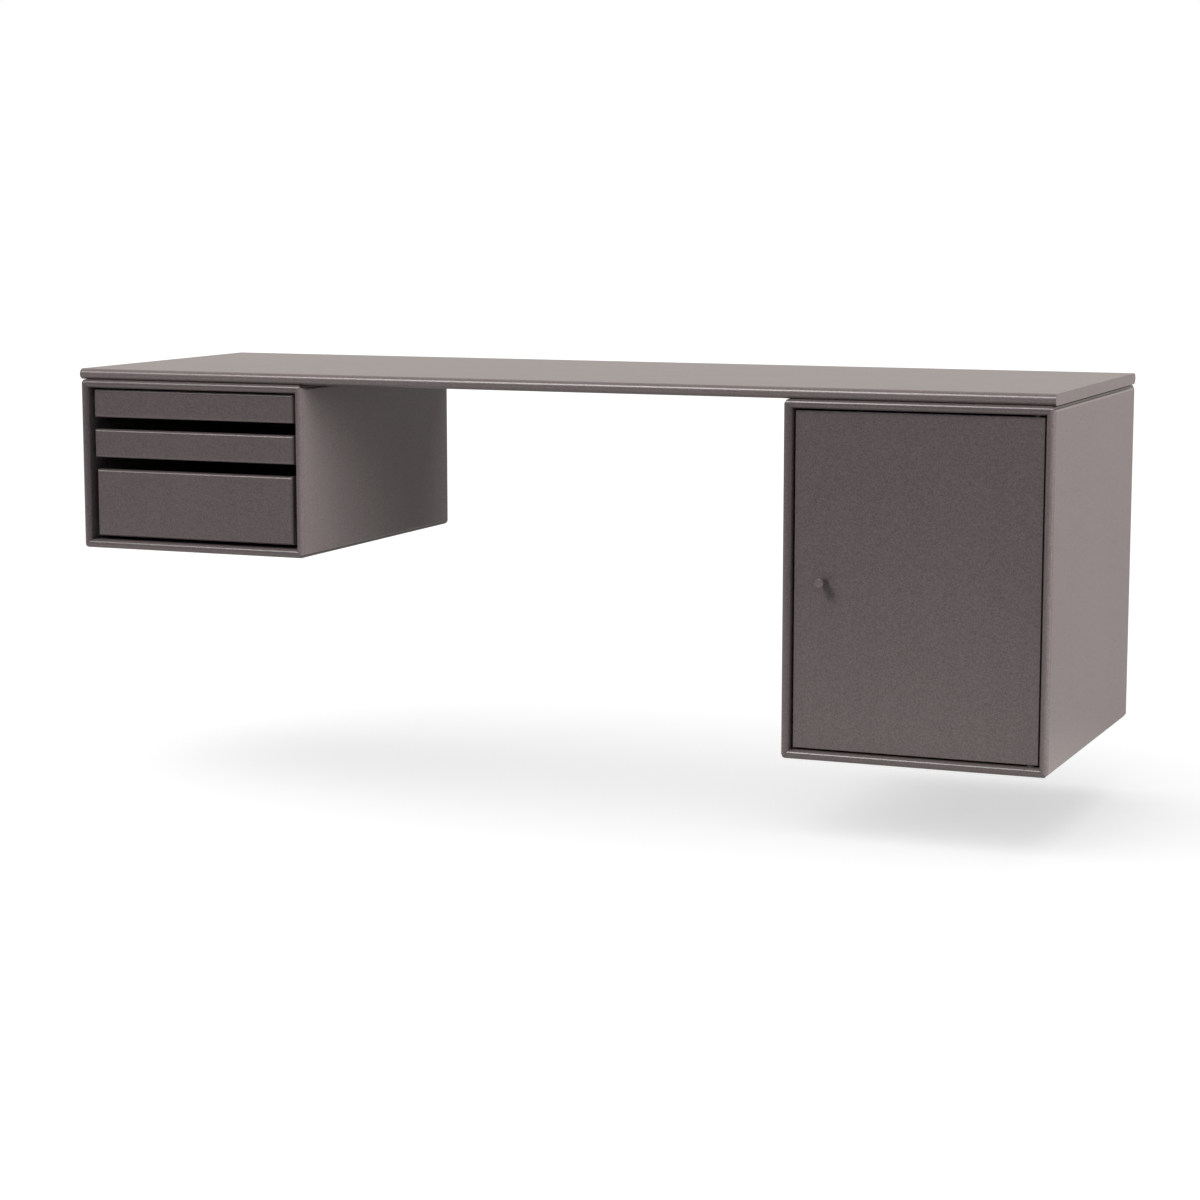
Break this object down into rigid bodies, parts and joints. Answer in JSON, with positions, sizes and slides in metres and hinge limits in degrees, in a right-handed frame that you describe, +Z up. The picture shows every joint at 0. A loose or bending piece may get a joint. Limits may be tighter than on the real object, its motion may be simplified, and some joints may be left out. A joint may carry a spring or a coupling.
{
  "type": "floating wall desk",
  "caption": "Thin desk top on hanging drawer and cupboard modules with rounded front edges, inset trays, drawer and door with a round knob.",
  "frame": {"origin": "on the wall plane, midway between the modules, on the line of the wall screw holes", "axes": "+X to the right as seen from the front, +Y into the wall, +Z up"},
  "size_m": [1.404, 0.48, 0.483],
  "materials": {
    "lacquer": "fine-grained satin lacquer in a warm mauve grey",
    "beech": "bare turned beech",
    "plated_steel": "zinc plated",
    "coated_steel": "white epoxy coating",
    "nylon": "natural matte nylon",
    "catch_plastic": "matte black"
  },
  "bodies": {
    "frame": {"desk_top": "lacquer", "desk_top_screws": "plated_steel", "drawer_module_top": "lacquer", "drawer_module_bottom": "lacquer", "drawer_module_left_side": "lacquer", "drawer_module_right_side": "lacquer", "drawer_module_back": "lacquer", "cupboard_top": "lacquer", "cupboard_bottom": "lacquer", "cupboard_left_side": "lacquer", "cupboard_right_side": "lacquer", "cupboard_back": "lacquer", "corner_dowels": "beech", "cupboard_shelf": "lacquer", "shelf_pins": "plated_steel", "drawer_module_wall_rail": "plated_steel", "cupboard_wall_rail": "plated_steel", "drawer_module_hangers": "plated_steel", "cupboard_hangers": "plated_steel", "short_screws": "plated_steel", "upper_tray_left_runner": "nylon", "upper_tray_right_runner": "nylon", "lower_tray_left_runner": "nylon", "lower_tray_right_runner": "nylon", "tray_runner_screws": "plated_steel", "drawer_left_fixed_rail": "coated_steel", "drawer_right_fixed_rail": "coated_steel", "upper_hinge_bush": "nylon", "lower_hinge_bush": "nylon", "catch_body": "catch_plastic", "catch_magnet": "plated_steel"},
    "upper_tray": {"upper_tray_front": "lacquer", "upper_tray_left_side": "lacquer", "upper_tray_right_side": "lacquer", "upper_tray_back": "lacquer", "upper_tray_base": "lacquer", "upper_tray_stop_pegs": "plated_steel"},
    "lower_tray": {"lower_tray_front": "lacquer", "lower_tray_left_side": "lacquer", "lower_tray_right_side": "lacquer", "lower_tray_back": "lacquer", "lower_tray_base": "lacquer", "lower_tray_stop_pegs": "plated_steel"},
    "drawer": {"drawer_front": "lacquer", "drawer_left_side": "lacquer", "drawer_right_side": "lacquer", "drawer_back": "lacquer", "drawer_base": "lacquer", "drawer_left_moving_rail": "coated_steel", "drawer_right_moving_rail": "coated_steel", "moving_rail_screws": "plated_steel"},
    "front_rollers": {"drawer_front_rollers": "nylon"},
    "rear_rollers": {"drawer_rear_rollers": "nylon"},
    "door": {"door": "lacquer", "door_knob": "lacquer", "knob_screw": "plated_steel", "upper_hinge_pin": "plated_steel", "lower_hinge_pin": "plated_steel", "strike_plate": "plated_steel"}
  },
  "joints": [
    {"name": "upper_tray_slide", "type": "slide", "parent": "frame", "child": "upper_tray", "axis": [0, -1, 0], "range_m": [0, 0.3]},
    {"name": "lower_tray_slide", "type": "slide", "parent": "frame", "child": "lower_tray", "axis": [0, -1, 0], "range_m": [0, 0.3]},
    {"name": "drawer_slide", "type": "slide", "parent": "frame", "child": "drawer", "axis": [0, -1, 0], "range_m": [0, 0.265]},
    {"name": "front_roller_spin", "type": "hinge", "parent": "frame", "child": "front_rollers", "pos_m": [-0.525, -0.432, -0.17353], "axis": [1, 0, 0], "continuous": true},
    {"name": "rear_roller_spin", "type": "hinge", "parent": "drawer", "child": "rear_rollers", "pos_m": [-0.525, -0.1097, -0.1728], "axis": [1, 0, 0], "continuous": true},
    {"name": "door_hinge", "type": "hinge", "parent": "frame", "child": "door", "pos_m": [0.6775, -0.454, -0.194], "axis": [0, 0, 1], "range_deg": [0, 110]}
  ],
  "couplings": [
    {"joint": "front_roller_spin", "follows": "drawer_slide", "rad_per_m": 110.8},
    {"joint": "rear_roller_spin", "follows": "drawer_slide", "rad_per_m": 102.56}
  ]
}
